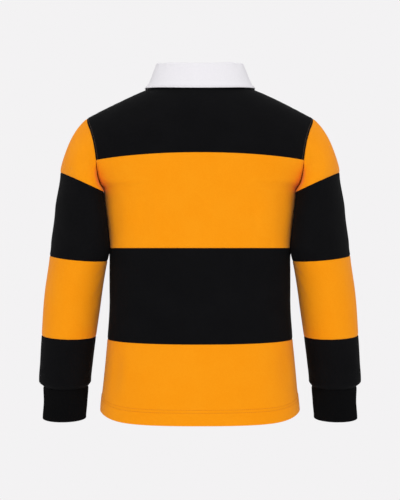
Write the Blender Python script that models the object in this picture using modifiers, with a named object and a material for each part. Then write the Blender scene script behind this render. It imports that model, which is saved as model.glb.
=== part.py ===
"""A child's hooped rugby shirt, filled out as on a wearer who isn't there, as its cut and sewn pieces.

Metres, +Z up. The front faces -Y. The origin lies between the two high points of the shoulders.
"""

import math

import bmesh
import bpy
import numpy as np
from mathutils import Vector

FACING = {"back": Vector((0, 1, 0)), "front": Vector((0, -1, 0))}

WALL = 0.0016  # heavy cotton jersey
COLLAR_WALL = 0.0020  # two layers of drill
CUFF_WALL = 0.0022  # doubled rib
SEAM_GAP = 0.0003
ARMHOLE_GAP = 0.0009  # the sleeve turns down here, so that the walls lean together inside
SEAM_ROW = 0.0018  # a narrow row of faces along each seam keeps the walls square to the cloth there

# The shoulder seen from behind: a line that rounds off towards the neck, where the neck hole cuts it.
SHOULDER_PEAK = 0.0138
SHOULDER_SLOPE = 0.610
SHOULDER_ROUNDING = 0.100
ARCH_BASE = -0.125  # above this height the cloth leans in over the shoulders
ARCH_POWER = {"back": 1.9, "front": 1.8}

# Seams round the body, as heights.
YOKE_SEAM = -0.1135
YOKE_SEAM_DIP = 0.0085  # lower at the armholes than at the middle
CHEST_SEAM = -0.258
WAIST_SEAM = -0.4035
WAIST_SEAM_RISE = 0.002  # higher at the side seams
HEM = -0.5255
HEM_RISE = 0.012  # the hem curves up at the side seams
HEM_CURVE_POWER = 8
UNDERARM = -0.165

NECK_HALF_WIDTH = 0.069
NECK_DEPTH = {"back": 0.041, "front": 0.066}
PLACKET_HALF_WIDTH = 0.014
PLACKET_TAIL = 0.008  # the upper strip ends this far below the slit

# Rough lengths of cloth, from which the narrow rows along the seams are worked out.
YOKE_LENGTH = 0.11
SHOULDER_LENGTH = 0.10
WAIST_LENGTH = 0.145
HEM_LENGTH = 0.12
HALF_GIRTH = 0.16

YOKE_ROWS = 8
ARMHOLE_ROWS = 5  # between the yoke seam and the underarm
PANEL_ROWS = 4
NECK_COLUMNS = 5
SHOULDER_COLUMNS = 5
SIDE_COLUMNS = 9
HEAD_ROWS = 8
SLEEVE_ROWS = 4
CUFF_ROWS = 3
COLLAR_COLUMNS = 32
PLACKET_ROWS = 10

BLACK = (0.0065, 0.0065, 0.0073)
AMBER = (0.88, 0.31, 0.007)
WHITE = (0.84, 0.83, 0.87)
RUBBER = (0.72, 0.71, 0.69)


class Table:
    """Rows of sizes at given stations, with a smooth curve through each named column."""

    def __init__(self, columns, rows):
        self.stations = np.array([row[0] for row in rows])
        self.values = {name: np.array([row[i + 1] for row in rows]) for i, name in enumerate(columns[1:])}

    def at(self, column, station):
        stations, values = self.stations, self.values[column]
        station = min(max(station, stations[0]), stations[-1])
        steps = np.diff(values) / np.diff(stations)
        i = min(int(np.searchsorted(stations, station, side="right")) - 1, len(steps) - 1)

        def slope(k):
            """The harmonic mean of the steps on both sides, so that the curve never overshoots a row."""
            if k in (0, len(steps)) or steps[k - 1] * steps[k] <= 0:
                return 0.0
            return 2 * steps[k - 1] * steps[k] / (steps[k - 1] + steps[k])

        width = stations[i + 1] - stations[i]
        start = (values[i], slope(i) * width)
        end = (values[i + 1], slope(i + 1) * width)
        return hermite((station - stations[i]) / width, start[0], start[1], end[0], end[1])


def hermite(t, start, start_slope, end, end_slope):
    return (
        (2 * t**3 - 3 * t**2 + 1) * start
        + (t**3 - 2 * t**2 + t) * start_slope
        + (3 * t**2 - 2 * t**3) * end
        + (t**3 - t**2) * end_slope
    )


# Sizes of the body, from the hem up. Above the underarm the armholes cut the sections' sides off.
# A power of 2 makes a section an ellipse, and more makes it squarer.
TORSO = Table(
    ("height", "half_width", "back", "front", "power"),
    (
        (-0.530, 0.1590, 0.105, 0.099, 2.4),
        (-0.469, 0.1535, 0.103, 0.097, 2.5),
        (-0.403, 0.1471, 0.100, 0.095, 2.6),
        (-0.340, 0.1432, 0.096, 0.094, 2.9),
        (-0.280, 0.1430, 0.095, 0.095, 3.2),
        (-0.252, 0.1443, 0.095, 0.095, 2.9),
        (-0.205, 0.1495, 0.096, 0.096, 2.85),
        (-0.182, 0.1518, 0.0965, 0.0955, 2.75),
        (-0.165, 0.1530, 0.097, 0.095, 2.75),
        (-0.157, 0.1605, 0.097, 0.095, 2.8),
        (-0.146, 0.1705, 0.0975, 0.094, 2.6),
        (-0.125, 0.1860, 0.098, 0.092, 2.4),
    ),
)

# The armhole seam seen from behind, from the underarm to the end of the shoulder.
ARMHOLE = Table(
    ("height", "x"),
    (
        (-0.1650, 0.1530),
        (-0.1570, 0.1560),
        (-0.1457, 0.1584),
        (-0.1230, 0.1608),
        (-0.0948, 0.1660),
        (-0.0757, 0.1720),
        (-0.0520, 0.1805),
    ),
)

# The sleeve's rings, by height of their centres, with angles in degrees. A slant lifts the outer side, a pitch
# drops the back, and a yaw turns the ring's back towards the body.
RING_COLUMNS = ("height", "x", "y", "half_width", "half_depth", "slant", "pitch", "yaw")
SLEEVE = Table(
    RING_COLUMNS,
    (
        (-0.479, 0.2152, -0.006, 0.0358, 0.0352, 0.5, 4.0, 0.0),
        (-0.473, 0.2166, -0.005, 0.0418, 0.0412, 1.0, 4.5, 0.0),
        (-0.440, 0.2137, -0.002, 0.0420, 0.0425, 1.5, 4.5, 0.0),
        (-0.397, 0.2090, 0.004, 0.0432, 0.0440, 2.0, 4.5, 0.0),
        (-0.340, 0.2022, 0.012, 0.0450, 0.0470, 3.0, 4.2, 4.0),
        (-0.2735, 0.1915, 0.023, 0.0448, 0.0540, 5.0, 4.0, 22.0),
        (-0.252, 0.1881, 0.028, 0.0418, 0.0590, 6.5, 4.0, 35.0),
        (-0.210, 0.1872, 0.030, 0.0355, 0.0575, 13.0, 3.0, 36.0),
        (-0.154, 0.1864, 0.022, 0.0350, 0.0570, 24.0, 0.0, 24.0),
    ),
)
HEAD_FULLNESS = 0.88  # how roundly the sleeve's head leaves the armhole
HEAD_DIP = {"shoulder": 38.0, "underarm": 86.0}  # how steeply it leaves, in degrees
SLEEVE_SEAMS = {"head": -0.154, "upper": -0.2735, "elbow": -0.397, "forearm": -0.479}

CUFF = Table(
    RING_COLUMNS,
    (
        (-0.531, 0.2180, -0.009, 0.0346, 0.0325, 0.0, 4.0, 0.0),
        (-0.505, 0.2160, -0.008, 0.0347, 0.0328, 0.0, 4.0, 0.0),
        (-0.479, 0.2152, -0.006, 0.0358, 0.0352, 0.5, 4.0, 0.0),
    ),
)

# The collar round the neck: 0 is the middle of the back, 90 the shoulder and 180 the middle of the front.
COLLAR = Table(
    ("turn", "stand_height", "stand_lean", "leaf_spread"),
    (
        (0.0, 0.0313, 0.0030, 0.0148),
        (45.0, 0.0333, 0.0034, 0.0158),
        (90.0, 0.0352, 0.0060, 0.0190),
        (135.0, 0.0300, 0.0038, 0.0182),
        (180.0, 0.0230, 0.0030, 0.0165),
    ),
)
FOLD_RADIUS = 0.0034
LEAF_FLARE = 0.22  # share of the leaf's spread that comes near its lower edge
LEAF_LIFT = 0.0030  # middle of the leaf's lower edge above the cloth that it lies on
COLLAR_TURN_AT_FOLD = 177.0
COLLAR_TURN_AT_EDGE = 160.0  # the leaf's points spread apart below the neck

BUTTON_HEIGHTS = (-0.094, -0.138)
BUTTON_RADIUS = 0.0060
BUTTON_THICKNESS = 0.0030
BUTTON_EDGE = 0.0008


def superellipse(fraction, power):
    """How deep a section still is at this fraction of its width."""
    return max(0.0, 1 - abs(fraction) ** power) ** (1 / power)


def shoulder_height(x):
    return SHOULDER_PEAK - SHOULDER_SLOPE * (math.hypot(x, SHOULDER_ROUNDING) - SHOULDER_ROUNDING)


def section_depth(x, height, side):
    """How far the body's section at this height stands out from the side seams' plane."""
    across = x / TORSO.at("half_width", height)
    return TORSO.at(side, height) * superellipse(across, TORSO.at("power", height))


def arch_depth(x, side):
    return section_depth(x, ARCH_BASE, side)


def arch_point(x, angle, side):
    """A point on the cloth above ARCH_BASE. The angle is 90 degrees on the shoulder seam and 0 at the base."""
    power = 2 / ARCH_POWER[side]
    depth = arch_depth(x, side) * max(0.0, math.cos(angle)) ** power
    rise = (shoulder_height(x) - ARCH_BASE) * math.sin(angle) ** power
    return np.array((x, depth_sign(side) * depth, ARCH_BASE + rise))


def arch_height(x, y, side):
    rise = (shoulder_height(x) - ARCH_BASE) * superellipse(y / arch_depth(x, side), ARCH_POWER[side])
    return ARCH_BASE + rise


def arch_angle(x, height, side):
    rise = (height - ARCH_BASE) / (shoulder_height(x) - ARCH_BASE)
    return math.asin(min(1.0, rise ** (ARCH_POWER[side] / 2)))


def depth_sign(side):
    return 1 if side == "back" else -1


def torso_point(x, height, side):
    """The cloth's outer surface at this height, on the back or the front."""
    depth = section_depth(x, min(height, ARCH_BASE), side)
    if height > ARCH_BASE:
        rise = (height - ARCH_BASE) / (shoulder_height(x) - ARCH_BASE)
        depth *= superellipse(rise, ARCH_POWER[side])
    return np.array((x, depth_sign(side) * depth, height))


def yoke_seam(x):
    return YOKE_SEAM - YOKE_SEAM_DIP * (x / ARMHOLE.at("x", YOKE_SEAM - YOKE_SEAM_DIP)) ** 2


def fractions(rows, length):
    """Even steps from 0 to 1 along this length of cloth, with a narrow row at each end."""
    steps = [i / rows for i in range(rows + 1)]
    return [0.0, SEAM_ROW / length] + steps[1:-1] + [1 - SEAM_ROW / length, 1.0]


def neck_angle(x, side):
    """The arch angle at which the neck hole cuts the cloth. Beyond the hole it is the shoulder seam's."""
    y = NECK_DEPTH[side] * superellipse(x / NECK_HALF_WIDTH, 2)
    return math.acos((y / arch_depth(x, side)) ** (ARCH_POWER[side] / 2))


def yoke_angle(x, fraction, side):
    top = neck_angle(x, side)
    return top + (arch_angle(x, yoke_seam(x), side) - top) * fraction


def armhole_x(fraction, side):
    """Where the armhole seam is, this far down the yoke from the shoulder seam."""
    x = ARMHOLE.at("x", 0.0)
    for _ in range(8):
        x = ARMHOLE.at("x", arch_point(x, yoke_angle(x, fraction, side), side)[2])
    return x


def yoke_rows():
    return fractions(YOKE_ROWS, YOKE_LENGTH)


def armhole_heights():
    """Heights of the armhole's rows from the yoke seam to the underarm, closer together below."""
    top = YOKE_SEAM - YOKE_SEAM_DIP
    turns = [math.pi / 2 * i / ARMHOLE_ROWS for i in range(ARMHOLE_ROWS + 1)]
    return [top + (UNDERARM - top) * math.sin(turn) for turn in turns]


def armhole_loop(side):
    """The armhole seam's points on the back or the front, from the shoulder seam to the underarm."""
    upper = []
    for i in range(YOKE_ROWS + 1):
        x = armhole_x(i / YOKE_ROWS, side)
        upper.append(arch_point(x, yoke_angle(x, i / YOKE_ROWS, side), side))
    lower = [torso_point(ARMHOLE.at("x", height), height, side) for height in armhole_heights()]
    return upper + lower[1:]


def yoke_points(side, from_x=None):
    """Rows from the neck and shoulder seams down to the yoke seam, columns from left to right.

    With from_x, only the half from there to the right armhole, for a front that is open down the middle.
    """
    start = math.asin(from_x / NECK_HALF_WIDTH) if from_x else 0.0
    turns = [start + (math.pi / 2 - start) * i / NECK_COLUMNS for i in range(NECK_COLUMNS + 1)]
    neck = [NECK_HALF_WIDTH * math.sin(turn) for turn in turns]
    across = fractions(SHOULDER_COLUMNS, SHOULDER_LENGTH)[2:]
    grid = []
    for fraction in yoke_rows():
        edge = armhole_x(fraction, side)
        xs = neck + [NECK_HALF_WIDTH + (edge - NECK_HALF_WIDTH) * step for step in across]
        if from_x is None:
            xs = [-x for x in reversed(xs[1:])] + xs
        grid.append([arch_point(x, yoke_angle(abs(x), fraction, side), side) for x in xs])
    return np.array(grid)


def band_points(side, top, bottom, rows, edge_of):
    """Rows of a panel round half the body. The seams' heights depend on how far out from the middle they are."""
    grid = []
    for fraction in rows:
        edge_height = top(1.0) + (bottom(1.0) - top(1.0)) * fraction
        edge = edge_of(edge_height)
        width, power = (TORSO.at(column, min(edge_height, ARCH_BASE)) for column in ("half_width", "power"))
        inner = math.acos((PLACKET_HALF_WIDTH / width) ** (power / 2))
        outer = math.acos(min(1.0, edge / width) ** (power / 2))
        turns = [inner + (outer - inner) * step for step in fractions(SIDE_COLUMNS, HALF_GIRTH)[2:]]
        half = [0.0, PLACKET_HALF_WIDTH] + [width * math.cos(turn) ** (2 / power) for turn in turns]
        row = []
        for x in [-x for x in reversed(half[1:])] + half:
            out = abs(x) / edge
            height = top(out) + (bottom(out) - top(out)) * fraction
            row.append(torso_point(x, height, side))
        grid.append(row)
    return np.array(grid)


def side_edge(height):
    if height > UNDERARM:
        return ARMHOLE.at("x", height)
    return TORSO.at("half_width", height)


def chest_rows():
    """Fractions of the chest panel's height: the armhole's own rows, then even ones below the underarm."""
    top = YOKE_SEAM - YOKE_SEAM_DIP
    depth = top - CHEST_SEAM
    armhole = [(top - height) / depth for height in armhole_heights()]
    below = [armhole[-1] + (1 - armhole[-1]) * i / PANEL_ROWS for i in range(1, PANEL_ROWS + 1)]
    return armhole[:1] + [SEAM_ROW / depth] + armhole[1:] + below[:-1] + [1 - SEAM_ROW / depth, 1.0]


def yoke_seam_at(out):
    return YOKE_SEAM - YOKE_SEAM_DIP * out**2


def chest_seam_at(_out):
    return CHEST_SEAM


def waist_seam_at(out):
    return WAIST_SEAM + WAIST_SEAM_RISE * out**2


def hem_at(out):
    return HEM + HEM_RISE * out**HEM_CURVE_POWER


def ring_point(table, height, turn, outward):
    """A point on a sleeve's ring. The turn is 0 on the outer side, 90 degrees at the back and 180 inside."""
    slant, pitch, yaw = (math.radians(table.at(column, height)) for column in ("slant", "pitch", "yaw"))
    out = table.at("half_width", height) * math.cos(turn)
    back = table.at("half_depth", height) * math.sin(turn)
    out, back = out * math.cos(yaw) - back * math.sin(yaw), back * math.cos(yaw) + out * math.sin(yaw)
    x = table.at("x", height) + out * math.cos(slant)
    y = table.at("y", height) + back * math.cos(pitch)
    return np.array((outward * x, y, height + out * math.sin(slant) - back * math.sin(pitch)))


def armhole_ring(outward):
    """The whole armhole seam, from the shoulder round the back, the underarm and the front, and closed."""
    back, front = armhole_loop("back"), armhole_loop("front")
    ring = back + front[-2::-1]
    return [point * (outward, 1, 1) for point in ring]


def ring_turns():
    """The angle on the sleeve's rings at which each of the armhole's points arrives."""
    turns = []
    for side, start, sign in (("back", 0.0, 1), ("front", 2 * math.pi, -1)):
        points = np.array(armhole_loop(side))
        lengths = np.linalg.norm(np.diff(points, axis=0), axis=1)
        shares = np.concatenate([[0], np.cumsum(lengths)]) / lengths.sum()
        half = [start + sign * math.pi * share for share in shares]
        turns += half if side == "back" else half[-2::-1]
    return turns


def sleeve_head_points(outward):
    """The rounded top of the sleeve, from the armhole seam down to the sleeve's first hoop seam."""
    low = SLEEVE_SEAMS["head"]
    step = 0.001
    steps = [i / HEAD_ROWS for i in range(HEAD_ROWS)] + [0.975, 1.0]  # ends in a narrow row
    columns = []
    for start, turn in zip(armhole_ring(outward), ring_turns()):
        share = (1 - math.cos(turn)) / 2  # 0 on the shoulder, 1 at the underarm
        start = start + (outward * SEAM_GAP * share, 0, 0)
        end = ring_point(SLEEVE, low, turn, outward)
        reach = np.linalg.norm(end - start) * HEAD_FULLNESS
        down = (ring_point(SLEEVE, low - step, turn, outward) - end) / step * reach
        dip = math.radians(HEAD_DIP["shoulder"] + (HEAD_DIP["underarm"] - HEAD_DIP["shoulder"]) * share)
        leave = np.array((outward * math.cos(dip), 0, -math.sin(dip))) * reach
        columns.append([hermite(t, start, leave, end, down) for t in steps])
    return np.array(columns).swapaxes(0, 1)


def tube_points(table, top, bottom, rows, outward):
    grid = []
    for fraction in fractions(rows, abs(top - bottom)):
        height = top + (bottom - top) * fraction
        grid.append([ring_point(table, height, turn, outward) for turn in ring_turns()])
    return np.array(grid)


def neck_plan(turn):
    """The neck seam's place and outward direction, seen from above."""
    depth = NECK_DEPTH["back"] if abs(turn) <= math.pi / 2 else NECK_DEPTH["front"]
    place = np.array((NECK_HALF_WIDTH * math.sin(turn), depth * math.cos(turn)))
    out = np.array((math.sin(turn) / NECK_HALF_WIDTH, math.cos(turn) / depth))
    return place, out / np.linalg.norm(out)


def cloth_height(place):
    side = "back" if place[1] >= 0 else "front"
    return arch_height(place[0], place[1], side)


def resting_height(place, lift):
    """The height at which something lies on the cloth, this far out from its surface."""
    step = 0.001
    slope_x = (cloth_height(place + (step, 0)) - cloth_height(place - (step, 0))) / (2 * step)
    slope_y = (cloth_height(place + (0, step)) - cloth_height(place - (0, step))) / (2 * step)
    return cloth_height(place) + lift * math.sqrt(1 + slope_x**2 + slope_y**2)


def collar_turns(end):
    return [math.radians(end * (2 * i / COLLAR_COLUMNS - 1)) for i in range(COLLAR_COLUMNS + 1)]


def collar_stand_points():
    """Rows from the neck seam up to just under the fold."""
    grid = []
    for fraction in (0.0, 0.5, 1.0):
        row = []
        for turn in collar_turns(COLLAR_TURN_AT_FOLD):
            place, out = neck_plan(turn)
            base = cloth_height(place) + SEAM_GAP
            height = COLLAR.at("stand_height", abs(math.degrees(turn)))
            lean = COLLAR.at("stand_lean", abs(math.degrees(turn)))
            rim = COLLAR_WALL / 2 * lean / height  # the leaning wall's rim rises this far on its outer side
            rise = height - FOLD_RADIUS - 2 * SEAM_GAP - rim
            row.append((*(place - out * lean * fraction), base + rise * fraction))
        grid.append(row)
    return np.array(grid)


def collar_leaf_points():
    """Rows from the stand's top over the fold and down to the leaf's edge, which lies on the shoulders."""
    fold_steps = [math.radians(angle) for angle in (180, 170, 135, 90, 45, 0)]
    fall_steps = [0.2, 0.45, 0.7, 0.9, 1.0]
    grid = []
    for step in fold_steps:
        row = []
        for turn in collar_turns(COLLAR_TURN_AT_FOLD):
            place, out = neck_plan(turn)
            top = cloth_height(place) + COLLAR.at("stand_height", abs(math.degrees(turn)))
            reach = FOLD_RADIUS - COLLAR.at("stand_lean", abs(math.degrees(turn))) + FOLD_RADIUS * math.cos(step)
            row.append((*(place + out * reach), top - FOLD_RADIUS * (1 - math.sin(step))))
        grid.append(row)
    folded = grid[-1]
    for step in fall_steps:
        end = COLLAR_TURN_AT_FOLD + (COLLAR_TURN_AT_EDGE - COLLAR_TURN_AT_FOLD) * step
        row = []
        for i, turn in enumerate(collar_turns(end)):
            place, out = neck_plan(turn)
            spread = COLLAR.at("leaf_spread", abs(math.degrees(turn)))
            start = 2 * FOLD_RADIUS - COLLAR.at("stand_lean", abs(math.degrees(turn)))
            share = step * (1 - LEAF_FLARE) + step**6 * LEAF_FLARE
            spot = place + out * (start + (spread - start) * share)
            edge = place + out * spread
            top = folded[i][2]
            fall = top + (resting_height(edge, LEAF_LIFT) - top) * step
            row.append((*spot, max(fall, resting_height(spot, LEAF_LIFT))))
        grid.append(row)
    return np.array(grid)


def placket_points(lift, half_width, end):
    """A strip down the middle of the front from the neck seam, moved out from the cloth by the lift."""
    top = cloth_height(np.array((0.0, -NECK_DEPTH["front"])))
    grid = []
    for fraction in fractions(PLACKET_ROWS, top - end):
        height = top + (end - top) * fraction
        row = []
        for x in np.linspace(-half_width, half_width, 5):
            point = torso_point(x, height, "front")
            row.append(point + front_normal(x, height) * lift)
        grid.append(row)
    return np.array(grid)


def front_normal(x, height):
    step = 0.0005
    across = torso_point(x + step, height, "front") - torso_point(x - step, height, "front")
    down = torso_point(x, height - step, "front") - torso_point(x, height + step, "front")
    normal = np.cross(down, across)
    return normal / np.linalg.norm(normal) * (-1 if normal[1] > 0 else 1)


def draw_back(grid, **gaps):
    """Moves the named edges of a panel back from their seams by half the gap: one for the edge, or one a point."""
    for side, gap in gaps.items():
        edge, inner = {
            "top": (grid[0], grid[1]),
            "bottom": (grid[-1], grid[-2]),
            "left": (grid[:, 0], grid[:, 1]),
            "right": (grid[:, -1], grid[:, -2]),
        }[side]
        step = inner - edge
        edge += step / np.linalg.norm(step, axis=1, keepdims=True) * np.reshape(gap, (-1, 1)) / 2
    return grid


def make_material(name, colour, roughness):
    material = bpy.data.materials.new(name)
    material.use_nodes = True
    shader = material.node_tree.nodes["Principled BSDF"]
    shader.inputs["Base Color"].default_value = (*colour, 1)
    shader.inputs["Roughness"].default_value = roughness
    shader.inputs["Metallic"].default_value = 0
    return material


def add_object(name, bm, colour, roughness=0.85):
    mesh = bpy.data.meshes.new(name)
    bm.to_mesh(mesh)
    bm.free()
    obj = bpy.data.objects.new(name, mesh)
    obj.data.materials.append(make_material(name + "_finish", colour, roughness))
    bpy.data.collections["rugby_shirt"].objects.link(obj)
    return obj


def cloth_panel(name, grid, colour, facing, wall=WALL, closed=False, notch=None):
    """A grid of cloth with its wall inside the given surface. A notch removes the faces whose middle is in it."""
    rows, columns = grid.shape[:2]
    bm = bmesh.new()
    bmesh.ops.create_grid(bm, x_segments=columns - 1, y_segments=rows - 1)
    bm.verts.ensure_lookup_table()
    for vertex, point in zip(bm.verts, grid.reshape(-1, 3)):
        vertex.co = point
    if closed:
        bmesh.ops.remove_doubles(bm, verts=bm.verts, dist=1e-6)
    if notch:
        inside = [face for face in bm.faces if notch(face.calc_center_median())]
        bmesh.ops.delete(bm, geom=inside, context="FACES")
    face_out(bm, facing)
    obj = add_object(name, bm, colour)
    shell = obj.modifiers.new("wall", "SOLIDIFY")
    shell.thickness = wall
    shell.offset = -1
    shell.use_even_offset = True
    return obj


def face_out(bm, facing):
    """Turns all faces so that the one furthest in the facing direction faces that way."""
    bm.normal_update()
    furthest = max(bm.faces, key=lambda face: face.calc_center_median().dot(facing))
    if furthest.normal.dot(facing) < 0:
        bmesh.ops.reverse_faces(bm, faces=bm.faces)


def make_body():
    for side in ("back", "front"):
        bands = (
            ("chest", AMBER, yoke_seam_at, chest_seam_at, chest_rows()),
            ("waist", BLACK, chest_seam_at, waist_seam_at, fractions(PANEL_ROWS, WAIST_LENGTH)),
            ("hem", AMBER, waist_seam_at, hem_at, fractions(PANEL_ROWS, HEM_LENGTH)),
        )
        for part, colour, top, bottom, rows in bands:
            grid = band_points(side, top, bottom, rows, side_edge)
            gaps = side_gaps(part, rows)
            bottom_gap = 0.0 if part == "hem" else SEAM_GAP
            draw_back(grid, top=SEAM_GAP, bottom=bottom_gap, left=gaps, right=gaps)
            notch = in_placket if (side, part) == ("front", "chest") else None
            cloth_panel(f"{side}_{part}", grid, colour, FACING[side], notch=notch)


def side_gaps(part, rows):
    """The chest's sides lie on the armholes down to the underarms. All others lie on the side seams."""
    on_armhole = ARMHOLE_ROWS + 2 if part == "chest" else 0
    return [ARMHOLE_GAP] * on_armhole + [SEAM_GAP] * (len(rows) - on_armhole)


def make_yokes():
    grid = yoke_points("back")
    draw_back(grid, top=SEAM_GAP, bottom=SEAM_GAP, left=ARMHOLE_GAP, right=ARMHOLE_GAP)
    cloth_panel("back_yoke", grid, BLACK, FACING["back"])
    for hand, outward in (("left", 1), ("right", -1)):
        grid = yoke_points("front", from_x=PLACKET_HALF_WIDTH) * (outward, 1, 1)
        draw_back(grid, top=SEAM_GAP, bottom=SEAM_GAP, right=ARMHOLE_GAP)
        cloth_panel(f"front_yoke_{hand}", grid, BLACK, FACING["front"])


def placket_end():
    """The slit ends level with the underarms, on a row of the chest panel."""
    top = yoke_seam_at(1.0)
    share = (top - UNDERARM) / (top - CHEST_SEAM)
    return yoke_seam_at(0.0) + (CHEST_SEAM - yoke_seam_at(0.0)) * share


def in_placket(point):
    return abs(point.x) < PLACKET_HALF_WIDTH and point.z > placket_end()


def make_sleeve(hand, outward):
    facing = Vector((outward, 0, 0))
    head = draw_back(sleeve_head_points(outward), top=ARMHOLE_GAP, bottom=SEAM_GAP)
    cloth_panel(f"sleeve_head_{hand}", head, AMBER, facing, closed=True)
    top = SLEEVE_SEAMS["head"]
    for part, colour in (("upper", BLACK), ("elbow", AMBER), ("forearm", BLACK)):
        grid = tube_points(SLEEVE, top, SLEEVE_SEAMS[part], SLEEVE_ROWS, outward)
        draw_back(grid, top=SEAM_GAP, bottom=SEAM_GAP)
        cloth_panel(f"sleeve_{part}_{hand}", grid, colour, facing, closed=True)
        top = SLEEVE_SEAMS[part]
    grid = tube_points(CUFF, CUFF.stations[-1], CUFF.stations[0], CUFF_ROWS, outward)
    cloth_panel(f"cuff_{hand}", draw_back(grid, top=SEAM_GAP), BLACK, facing, wall=CUFF_WALL, closed=True)


def make_collar():
    for name, grid in (("collar_stand", collar_stand_points()), ("collar_leaf", collar_leaf_points())):
        obj = cloth_panel(name, grid, WHITE, FACING["back"], wall=COLLAR_WALL)
        obj.modifiers["wall"].offset = 0


def make_placket():
    width = PLACKET_HALF_WIDTH - SEAM_GAP
    for name, lift, end in (
        ("placket_under", 0.0, placket_end() + SEAM_GAP),
        ("placket_upper", WALL + SEAM_GAP, placket_end() - PLACKET_TAIL),
    ):
        cloth_panel(name, placket_points(lift, width, end), WHITE, FACING["front"])


def make_button(name, height):
    """A flat round button with rounded rims, square to the placket that it is sewn to."""
    normal = front_normal(0.0, height)
    out = WALL + 2 * SEAM_GAP + BUTTON_THICKNESS / 2
    bm = bmesh.new()
    bmesh.ops.create_cone(
        bm,
        cap_ends=True,
        segments=24,
        radius1=BUTTON_RADIUS,
        radius2=BUTTON_RADIUS,
        depth=BUTTON_THICKNESS,
    )
    obj = add_object(name, bm, RUBBER, roughness=0.6)
    obj.location = torso_point(0.0, height, "front") + normal * out
    obj.rotation_euler = (math.atan2(-normal[1], normal[2]), 0, 0)
    rim = obj.modifiers.new("rim", "BEVEL")
    rim.width = BUTTON_EDGE
    rim.segments = 2
    rim.angle_limit = math.radians(40)


def main():
    for obj in list(bpy.data.objects):
        bpy.data.objects.remove(obj)
    bpy.context.scene.collection.children.link(bpy.data.collections.new("rugby_shirt"))
    make_yokes()
    make_body()
    for hand, outward in (("left", 1), ("right", -1)):
        make_sleeve(hand, outward)
    make_collar()
    make_placket()
    for number, height in enumerate(BUTTON_HEIGHTS, start=1):
        make_button(f"button_{number}", height)


main()
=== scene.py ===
import functools
import math

import bmesh
import bpy
import numpy as np
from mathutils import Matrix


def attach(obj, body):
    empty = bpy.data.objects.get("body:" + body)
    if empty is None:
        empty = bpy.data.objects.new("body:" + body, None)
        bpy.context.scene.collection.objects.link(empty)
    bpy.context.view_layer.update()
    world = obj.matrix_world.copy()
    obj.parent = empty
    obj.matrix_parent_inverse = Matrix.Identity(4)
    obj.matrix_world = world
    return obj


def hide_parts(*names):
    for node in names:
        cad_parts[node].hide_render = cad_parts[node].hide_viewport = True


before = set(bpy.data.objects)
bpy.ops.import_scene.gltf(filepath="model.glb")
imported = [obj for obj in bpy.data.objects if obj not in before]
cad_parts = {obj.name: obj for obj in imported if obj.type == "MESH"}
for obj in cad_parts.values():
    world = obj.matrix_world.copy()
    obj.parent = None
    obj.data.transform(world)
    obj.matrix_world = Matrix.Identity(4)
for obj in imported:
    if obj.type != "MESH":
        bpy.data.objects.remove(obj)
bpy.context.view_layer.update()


def linear(hexColour):
    channels = [int(hexColour[i:i + 2], 16) / 255 for i in (1, 3, 5)]
    return [c / 12.92 if c <= 0.04045 else ((c + 0.055) / 1.055) ** 2.4 for c in channels] + [1.0]


def addNode(tree, kind, inputs=None, **settings):
    # an input is either a plain value or the socket that feeds it
    node = tree.nodes.new(kind)
    for key, value in settings.items():
        setattr(node, key, value)
    for key, value in (inputs or {}).items():
        if isinstance(value, bpy.types.NodeSocket):
            tree.links.new(value, node.inputs[key])
        else:
            node.inputs[key].default_value = value
    return node


def maths(tree, operation, *values):
    return addNode(tree, "ShaderNodeMath", dict(enumerate(values)), operation=operation).outputs[0]


def mixColour(tree, factor, first, second):
    node = addNode(tree, "ShaderNodeMix", data_type="RGBA")
    for socket, value in (("Factor_Float", factor), ("A_Color", first), ("B_Color", second)):
        target = next(s for s in node.inputs if s.identifier == socket)
        if isinstance(value, bpy.types.NodeSocket):
            tree.links.new(value, target)
        else:
            target.default_value = value
    return next(s for s in node.outputs if s.identifier == "Result_Color")


def noise(tree, scale, detail):
    place = addNode(tree, "ShaderNodeTexCoord").outputs["Object"]
    return addNode(tree, "ShaderNodeTexNoise", {"Vector": place, "Scale": scale, "Detail": detail}).outputs[0]


def clothMap(tree):
    # the piece's own map, in metres along the rows and down the columns of stitches
    cloth = addNode(tree, "ShaderNodeUVMap", uv_map="cloth").outputs[0]
    return addNode(tree, "ShaderNodeSeparateXYZ", {0: cloth}).outputs


def newMaterial(name, finish):
    material = bpy.data.materials.new(name)
    material.use_nodes = True
    shader = material.node_tree.nodes["Principled BSDF"]
    shader.inputs["Roughness"].default_value = finish["roughness"]
    shader.inputs["Sheen Weight"].default_value = finish["sheen"]
    shader.inputs["Sheen Roughness"].default_value = finish["sheenRoughness"]
    shader.inputs["Specular IOR Level"].default_value = finish["specular"]
    shader.inputs["IOR"].default_value = 1.5
    return material, material.node_tree


def paint(tree, colour, height, finish):
    # the colour, and a bump as deep as the finish's relief
    shader = tree.nodes["Principled BSDF"]
    tree.links.new(colour, shader.inputs["Base Color"])
    inputs = {"Height": height, "Strength": finish["bump"], "Distance": finish["relief"]}
    tree.links.new(addNode(tree, "ShaderNodeBump", inputs).outputs[0], shader.inputs["Normal"])


# Heavy cotton jersey, knitted, brushed and pressed. It gives the eye columns of small slanted loops under a
# short soft nap, quite matt, with a slow change of tone over each panel, and painted shade in the gaps
# between the loops.
jersey = {
    "wale": 0.0011,  # a real loop is about 0.9 mm wide: drawn a little coarser so that it shows
    "course": 0.0009, "loopSlant": 0.6, "courseDepth": 0.25, "paintedGapShade": 0.45,
    "napScale": 420.0,  # clumps of nap, about 2.4 mm
    "napHeight": 0.7,
    "cloudScale": 26.0,  # slow change of tone, about 40 mm
    "cloudShare": 0.4, "toneRange": (0.35, 0.65),
    "sheenRoughness": 0.45, "specular": 0.06, "bump": 0.55, "relief": 0.00012,
}
# deep is the painted shade in the gaps between the loops; pale is the light end of the random change of tone
amberJersey = {"colour": "#FC990A", "deep": "#EB8905", "pale": "#FEA014", "sheen": 0.09, "roughness": 0.9}
blackJersey = {"colour": "#0B0B0D", "deep": "#070708", "pale": "#101012", "sheen": 0.006, "roughness": 0.92}


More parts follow.
